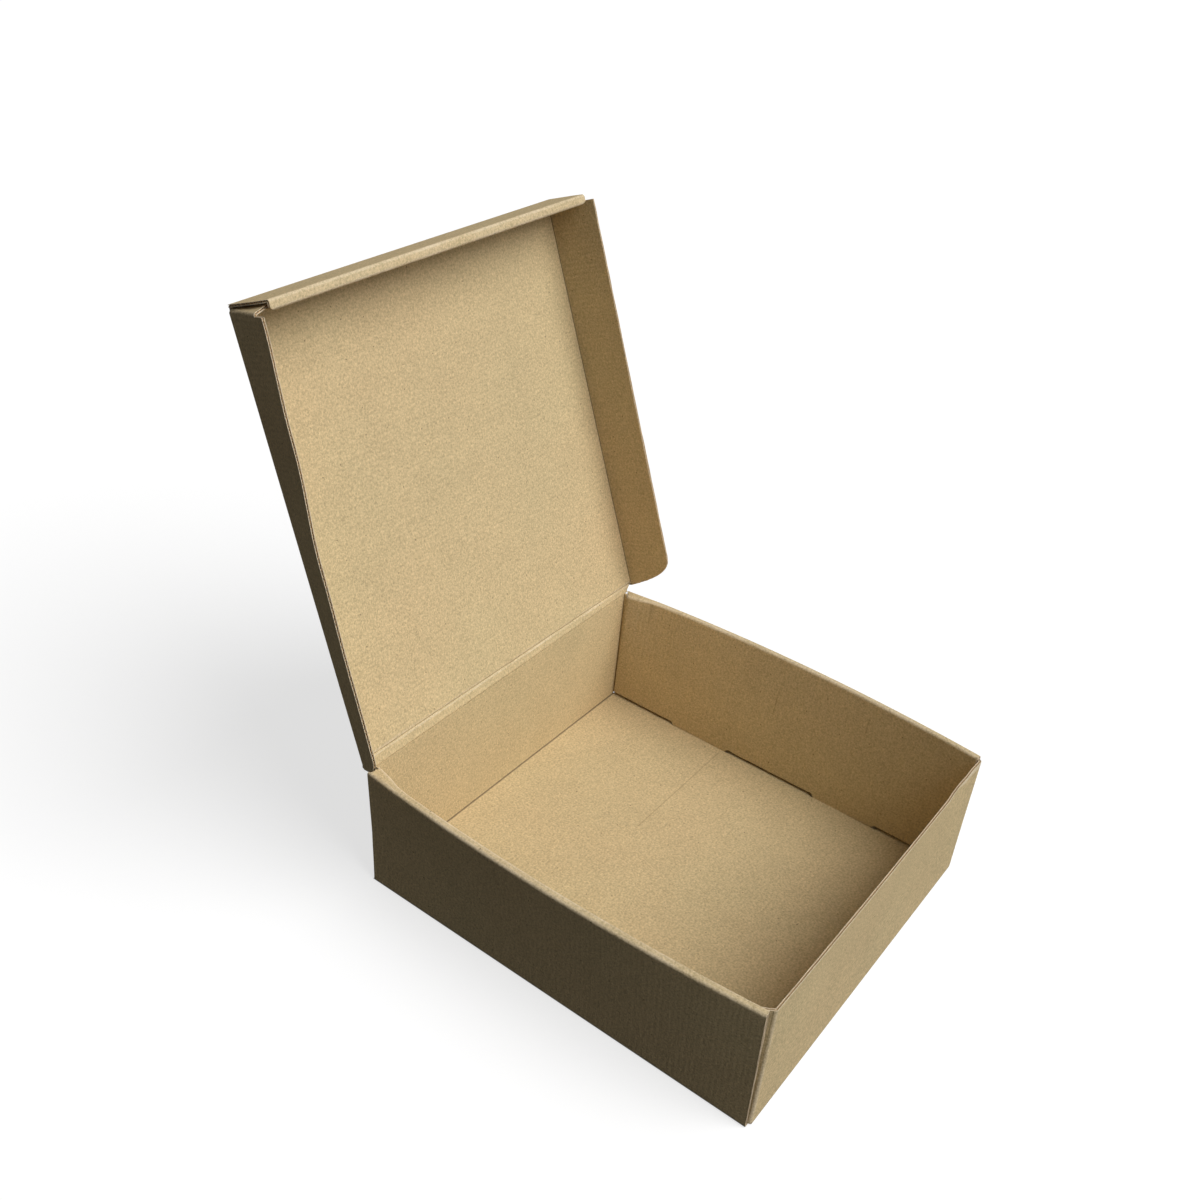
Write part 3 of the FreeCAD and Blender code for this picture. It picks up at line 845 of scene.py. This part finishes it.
def edge_material(board):
    """Cut edge of a liner, paler than its face."""
    material, nodes = new_material("liner_cut_edge")
    place = nodes.add("ShaderNodeTexCoord", output="Object")
    fuzz = nodes.noise(place, 900.0, 3.0, 0.7) - 0.5
    colour = nodes.scaled((*board.edge_colour,), 1 + fuzz * 0.5)
    finish(nodes, colour, 0.92 + fuzz * 0.1, 0.15, fuzz)
    return material


def fluting_material(name, board, share):
    """Fluting paper seen between the liners; at a small share it is darkened into painted shade."""
    material, nodes = new_material(name)
    place = nodes.add("ShaderNodeTexCoord", output="Object")
    crumple = nodes.noise(place, 420.0, 3.0, 0.7) - 0.5
    colour = nodes.scaled(tuple(part * share for part in board.fluting_colour), 1 + crumple * 0.9)
    finish(nodes, colour, 0.94 + crumple * 0.1, 0.1, crumple)
    return material


def board_materials(board):
    """Materials of a board, in the order of its face slots."""
    return [
        liner_material(board),
        edge_material(board),
        fluting_material("fluting_side", board, 1.0),
        # painted shade: near-black fluting standing for the shade deep in the hollows of cut-open flutes
        fluting_material("fluting_hollow_shade", board, 0.07),
    ]


def raw_edge_wire(name, sheet):
    """Wire along the raw edges that cut the flutes, with the board's normal and the way inward."""
    sheet.study()
    steps = []
    for first, second in sheet.borders:
        if sheet.cuts_flutes(first, second) and first not in sheet.beads:
            steps.append((first, second))
    used = sorted({vert for step in steps for vert in step})
    place = {vert: index for index, vert in enumerate(used)}
    points = [(sheet.points[v] + sheet.inward[v].normalized() * OPEN_GROOVE / 2) * MM for v in used]
    mesh = bpy.data.meshes.new(name)
    mesh.from_pydata(points, [(place[first], place[second]) for first, second in steps], [])
    for attribute, vectors in (("board_normal", sheet.normals), ("inward", sheet.inward)):
        values = [part for vert in used for part in vectors[vert].normalized()]
        mesh.attributes.new(attribute, "FLOAT_VECTOR", "POINT").data.foreach_set("vector", values)
    obj = bpy.data.objects.new(name, mesh)
    bpy.context.scene.collection.objects.link(obj)
    return obj


def flute_tree():
    """Geometry nodes that run a wavy ribbon of fluting along a wire."""
    tree = bpy.data.node_groups.new("flute_wave", "GeometryNodeTree")
    tree.interface.new_socket("Wire", in_out="INPUT", socket_type="NodeSocketGeometry")
    for label in ("Pitch", "Wave Height", "Paper", "Depth"):
        tree.interface.new_socket(label, in_out="INPUT", socket_type="NodeSocketFloat")
    tree.interface.new_socket("Material", in_out="INPUT", socket_type="NodeSocketMaterial")
    tree.interface.new_socket("Fluting", in_out="OUTPUT", socket_type="NodeSocketGeometry")
    nodes = Nodes(tree)

    def given(label):
        return nodes.add("NodeGroupInput", output=label)

    def stored(label):
        return nodes.add("GeometryNodeInputNamedAttribute", {"data_type": "FLOAT_VECTOR"}, {"Name": label})

    line = nodes.add("GeometryNodeMeshToCurve", values={"Mesh": given("Wire")})
    line = nodes.add("GeometryNodeResampleCurve", {"mode": "LENGTH"},
                     {"Curve": line, "Length": given("Pitch") / 8})
    reach = nodes.add("GeometryNodeSplineParameter", output="Length")
    wave = nodes.maths("SINE", reach * (2 * math.pi) / given("Pitch")) * given("Wave Height") * 0.5
    offset = nodes.scaled(stored("board_normal"), wave)
    line = nodes.add("GeometryNodeSetPosition", values={"Geometry": line, "Offset": offset})
    line = nodes.add("GeometryNodeSetCurveNormal", {"mode": "FREE"},
                     {"Curve": line, "Normal": stored("inward")})
    section = nodes.add("GeometryNodeCurvePrimitiveQuadrilateral", {"mode": "RECTANGLE"},
                        {"Width": given("Depth"), "Height": given("Paper")})
    ribbon = nodes.add("GeometryNodeCurveToMesh", values={
        "Curve": line, "Profile Curve": section, "Fill Caps": True,
    })
    ribbon = nodes.add("GeometryNodeRealizeInstances", values={"Geometry": ribbon})
    ribbon = nodes.add("GeometryNodeSetMaterial", values={
        "Geometry": ribbon, "Material": given("Material"),
    })
    nodes.add("NodeGroupOutput", values={"Fluting": ribbon})
    return tree


def fluting(name, sheet, board, tree, material):
    """Plain mesh of the fluting along the sheet's open raw edges."""
    wire = raw_edge_wire(f"{name}_wire", sheet)
    room = board.thickness - 2 * board.liner - board.paper
    modifier = wire.modifiers.new("flutes", "NODES")
    modifier.node_group = tree
    chosen = {"Pitch": board.pitch, "Wave Height": room, "Paper": board.paper,
              "Depth": OPEN_GROOVE * MM * 0.8, "Material": material}
    for item in tree.interface.items_tree:
        if item.in_out == "INPUT" and item.name in chosen:
            modifier[item.identifier] = chosen[item.name]
    depsgraph = bpy.context.evaluated_depsgraph_get()
    mesh = bpy.data.meshes.new_from_object(wire.evaluated_get(depsgraph))
    mesh.name = name
    bpy.data.objects.remove(wire)
    if not mesh.polygons:
        raise RuntimeError("the fluting came out empty")
    obj = bpy.data.objects.new(name, mesh)
    bpy.context.scene.collection.objects.link(obj)
    return obj


def in_side_wall(a, b):
    """Whether that place of the blank is a side wall or a dust flap, which the closed lid presses in."""
    return abs(a) > (FOLD_X if abs(b) < WALL_END else END_WALL_HALF)


class MAILER_PG_board(bpy.types.PropertyGroup):
    """Corrugated board"""

    thickness: FloatProperty(
        name="Board", description="Thickness of the corrugated board", default=0.0016, unit="LENGTH")
    liner: FloatProperty(
        name="Liner", description="Thickness of each outer paper", default=0.0003, unit="LENGTH")
    paper: FloatProperty(
        name="Fluting paper", description="Thickness of the wavy paper", default=0.00018, unit="LENGTH")
    pitch: FloatProperty(
        name="Flute pitch", description="Distance from flute to flute", default=0.0034, unit="LENGTH")
    ragged: FloatProperty(
        name="Ragged edge", description="How far a cut edge wanders", default=0.00035, unit="LENGTH")
    liner_warm: FloatVectorProperty(
        name="Liner, warm", description="Colour of the redder clouds in the liner",
        default=(0.605, 0.452, 0.252), subtype="COLOR", min=0.0, max=1.0)
    liner_cool: FloatVectorProperty(
        name="Liner, cool", description="Colour of the greener clouds in the liner",
        default=(0.562, 0.455, 0.256), subtype="COLOR", min=0.0, max=1.0)
    edge_colour: FloatVectorProperty(
        name="Cut edge", description="Colour of a liner's cut edge and of a worn fold",
        default=(0.78, 0.66, 0.48), subtype="COLOR", min=0.0, max=1.0)
    fluting_colour: FloatVectorProperty(
        name="Fluting", description="Colour of the fluting between the liners",
        default=(0.34, 0.235, 0.125), subtype="COLOR", min=0.0, max=1.0)


class MAILER_PG_tray(bpy.types.PropertyGroup):
    """Bow of the tray's walls"""

    left_front: FloatProperty(
        name="Left wall, front", description="How far the left wall's top stands out at the front",
        default=0.003, unit="LENGTH")
    left_middle: FloatProperty(
        name="Left wall, middle", description="How far the left wall's top stands out halfway",
        default=0.0108, unit="LENGTH")
    left_back: FloatProperty(
        name="Left wall, back", description="How far the left wall's top stands out at the hinge",
        default=0.005, unit="LENGTH")
    right_front: FloatProperty(
        name="Right wall, front", description="How far the right wall's top stands out at the front",
        default=0.004, unit="LENGTH")
    right_middle: FloatProperty(
        name="Right wall, middle", description="How far the right wall's top stands out halfway",
        default=0.0134, unit="LENGTH")
    right_back: FloatProperty(
        name="Right wall, back", description="How far the right wall's top stands out at the hinge",
        default=0.0048, unit="LENGTH")
    front_middle: FloatProperty(
        name="Front wall, middle", description="How far the front wall's top stands out halfway",
        default=0.001, unit="LENGTH")


class MAILER_PG_lid(bpy.types.PropertyGroup):
    """Splay of the lid's side flaps, from the hinge to the rolled front"""

    left_splay: FloatVectorProperty(
        name="Left flap", description="How far the left flap opens from square, at five stations",
        size=5, default=[math.radians(value) for value in (27.0, 26.0, 24.0, 17.0, 12.0)], unit="ROTATION")
    right_splay: FloatVectorProperty(
        name="Right flap", description="How far the right flap opens from square, at five stations",
        size=5, default=[math.radians(value) for value in (3.0, 3.5, 4.0, 4.5, 5.0)], unit="ROTATION")


class MAILER_PG_stage(bpy.types.PropertyGroup):
    """Floor and light"""

    key: FloatProperty(
        name="Key light", description="Strength of the soft light from above", default=0.885, min=0.0)
    key_spread: FloatProperty(
        name="Key spread", description="Width of the soft light, as seen from the box",
        default=math.radians(50), unit="ROTATION")
    front: FloatProperty(
        name="Front light", description="Strength of the soft light from the front", default=0.2, min=0.0)
    room: FloatProperty(
        name="Room light", description="Strength of the light from all round", default=0.1, min=0.0)
    floor_colour: FloatVectorProperty(
        name="Floor", description="Colour of the floor as the camera sees it",
        default=(1.0, 1.0, 1.0), subtype="COLOR", min=0.0, max=1.0)


class MAILER_OT_tray(bpy.types.Operator):
    """Fold the tray from its board"""

    bl_idname = "mailer.tray"
    bl_label = "Tray"

    def execute(self, context):
        board = context.scene.mailer_board
        sheet = Tray(context.scene.mailer_tray).fold()
        materials = board_materials(board)
        middle = thicken("tray_board", sheet, board, materials, lambda a, b: not in_side_wall(a, b))
        left = thicken("left_wall", sheet, board, materials, lambda a, b: in_side_wall(a, b) and a < 0)
        right = thicken("right_wall", sheet, board, materials, lambda a, b: in_side_wall(a, b) and a > 0)
        for piece in (middle, left, right):
            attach(piece, "tray")
            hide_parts("tray")
        for piece, side in ((left, -1), (right, 1)):
            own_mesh(piece)
        return {"FINISHED"}


class MAILER_OT_lid(bpy.types.Operator):
    """Fold the lid from its board, standing open"""

    bl_idname = "mailer.lid"
    bl_label = "Lid"

    def execute(self, context):
        board = context.scene.mailer_board
        sheet = Lid(context.scene.mailer_lid).fold()
        lid = thicken("lid_board", sheet, board, board_materials(board))
        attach(lid, "lid")
        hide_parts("lid")
        return {"FINISHED"}


class MAILER_OT_fluting(bpy.types.Operator):
    """Show the fluting in the raw edges of the lid"""

    bl_idname = "mailer.fluting"
    bl_label = "Fluting"

    def execute(self, context):
        scene = context.scene
        board = scene.mailer_board
        tree = flute_tree()
        material = fluting_material("fluting_paper", board, 1.9)
        piece = fluting("lid_fluting", Lid(scene.mailer_lid).fold(), board, tree, material)
        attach(piece, "lid")
        return {"FINISHED"}


def floor_material(colour):
    """Pale to the camera, and dull to the light that it throws back on the box. Under the box its glow is
    cut off, as painted shade.
    """
    material, nodes = new_material("floor_paper")
    seen = nodes.add("ShaderNodeLightPath", output="Is Camera Ray")
    place = nodes.add("ShaderNodeTexCoord", output="Object")
    x, y, _ = nodes.axes(place)
    across, deep = nodes.maths("ABSOLUTE", x), nodes.maths("ABSOLUTE", y - 0.0008)
    # painted shade: no glow inside the box's footprint, so the floor seen under the box stays dark
    under = nodes.rise(0.1321 - across, 0.0, 0.0004) * nodes.rise(0.1388 - deep, 0.0, 0.0004)
    pale = nodes.add("ShaderNodeBsdfPrincipled", values={
        "Base Color": (*(part * 0.38 for part in colour), 1), "Roughness": 1.0, "Specular IOR Level": 0.0,
        "Emission Color": nodes.scaled(tuple(colour), 1 - under), "Emission Strength": 0.7,
    })
    dull = nodes.add("ShaderNodeBsdfPrincipled", values={
        "Base Color": (0.06, 0.058, 0.055, 1), "Roughness": 1.0, "Specular IOR Level": 0.0,
    })
    surface = nodes.add("ShaderNodeMixShader", values={0: seen, 1: dull, 2: pale})
    nodes.add("ShaderNodeOutputMaterial", values={"Surface": surface})
    return material


def soft_light(name, towards, strength, spread):
    """Soft light from a direction, under which a white face turned to it renders at the strength."""
    data = bpy.data.lights.new(name, "SUN")
    data.energy = strength * math.pi
    data.angle = spread
    light = bpy.data.objects.new(name, data)
    light.rotation_euler = Vector(towards).to_track_quat("Z", "Y").to_euler()
    bpy.context.scene.collection.objects.link(light)


def room_light(strength):
    """World that is white to the camera and dim on the box."""
    world = bpy.data.worlds.new("room")
    bpy.context.scene.world = world
    world.use_nodes = True
    world.node_tree.nodes.clear()
    nodes = Nodes(world.node_tree)
    seen = sum(
        (nodes.add("ShaderNodeLightPath", output=ray) for ray in ("Is Glossy Ray", "Is Transmission Ray")),
        nodes.add("ShaderNodeLightPath", output="Is Camera Ray"),
    )
    level = strength + nodes.rise(seen, 0.0, 1.0) * (1 - strength)
    light = nodes.add("ShaderNodeBackground", values={"Color": (1, 1, 1, 1), "Strength": level})
    nodes.add("ShaderNodeOutputWorld", values={"Surface": light})


def photo_camera():
    """Camera at the viewing angle of the photograph: place in millimetres, focal length in pixels."""
    data = bpy.data.cameras.new("camera")
    camera = bpy.data.objects.new("camera", data)
    bpy.context.scene.collection.objects.link(camera)
    bpy.context.scene.camera = camera
    place = Vector((-598.9, -315.7, 652.2)) * MM
    azimuth, elevation, roll = math.radians(54.91), math.radians(-30.82), math.radians(4.74)
    focal, centre, image = 1390.2, (565.6, 532.2), 1200
    forward = Vector((
        math.sin(azimuth) * math.cos(elevation),
        math.cos(azimuth) * math.cos(elevation),
        math.sin(elevation),
    ))
    level = forward.cross(Vector((0, 0, 1))).normalized()
    up = level.cross(forward)
    right = level * math.cos(roll) + up * math.sin(roll)
    up = up * math.cos(roll) - level * math.sin(roll)
    turn = Matrix((right, up, -forward)).transposed()
    camera.matrix_world = Matrix.Translation(place) @ turn.to_4x4()
    data.sensor_width = 36
    data.lens = focal / image * data.sensor_width
    data.shift_x = (image / 2 - centre[0]) / image
    data.shift_y = (centre[1] - image / 2) / image


class MAILER_OT_stage(bpy.types.Operator):
    """Lay the floor and set the lights and the camera"""

    bl_idname = "mailer.stage"
    bl_label = "Stage"

    def execute(self, context):
        stage = context.scene.mailer_stage
        context.scene.view_settings.view_transform = "Standard"
        mesh = bpy.data.meshes.new("floor")
        corners = [(x * FLOOR_HALF, y * FLOOR_HALF, 0) for x, y in ((-1, -1), (1, -1), (1, 1), (-1, 1))]
        mesh.from_pydata(corners, [], [(0, 1, 2, 3)])
        mesh.materials.append(floor_material(stage.floor_colour))
        floor = bpy.data.objects.new("floor", mesh)
        context.scene.collection.objects.link(floor)
        soft_light("key_light", (0.14, -0.58, 0.80), stage.key, stage.key_spread)
        soft_light("front_light", (0.15, -0.95, 0.28), stage.front, math.radians(60))
        room_light(stage.room)
        photo_camera()
        return {"FINISHED"}


PANEL_ROWS = (
    ("mailer_board", ("mailer.fluting",)),
    ("mailer_tray", ("mailer.tray",)),
    ("mailer_lid", ("mailer.lid",)),
    ("mailer_stage", ("mailer.stage",)),
)


class MAILER_PT_box(bpy.types.Panel):
    """Mailer box"""

    bl_idname = "MAILER_PT_box"
    bl_label = "Mailer box"
    bl_space_type = "VIEW_3D"
    bl_region_type = "UI"
    bl_category = "Mailer box"

    def draw(self, context):
        for name, operators in PANEL_ROWS:
            group = getattr(context.scene, name)
            box = self.layout.box()
            for field in group.__annotations__:
                box.prop(group, field)
            for operator in operators:
                box.operator(operator)


GROUPS = {
    "mailer_board": MAILER_PG_board,
    "mailer_tray": MAILER_PG_tray,
    "mailer_lid": MAILER_PG_lid,
    "mailer_stage": MAILER_PG_stage,
}
OPERATORS = (MAILER_OT_tray, MAILER_OT_lid, MAILER_OT_fluting, MAILER_OT_stage)
CLASSES = (*GROUPS.values(), *OPERATORS, MAILER_PT_box)


def register():
    for cls in CLASSES:
        bpy.utils.register_class(cls)
    for name, group in GROUPS.items():
        setattr(bpy.types.Scene, name, PointerProperty(type=group))


def unregister():
    for name in GROUPS:
        delattr(bpy.types.Scene, name)
    for cls in reversed(CLASSES):
        bpy.utils.unregister_class(cls)


def main():
    register()
    bpy.ops.mailer.tray()
    bpy.ops.mailer.lid()
    bpy.ops.mailer.fluting()
    bpy.ops.mailer.stage()


if __name__ == "__main__":
    main()
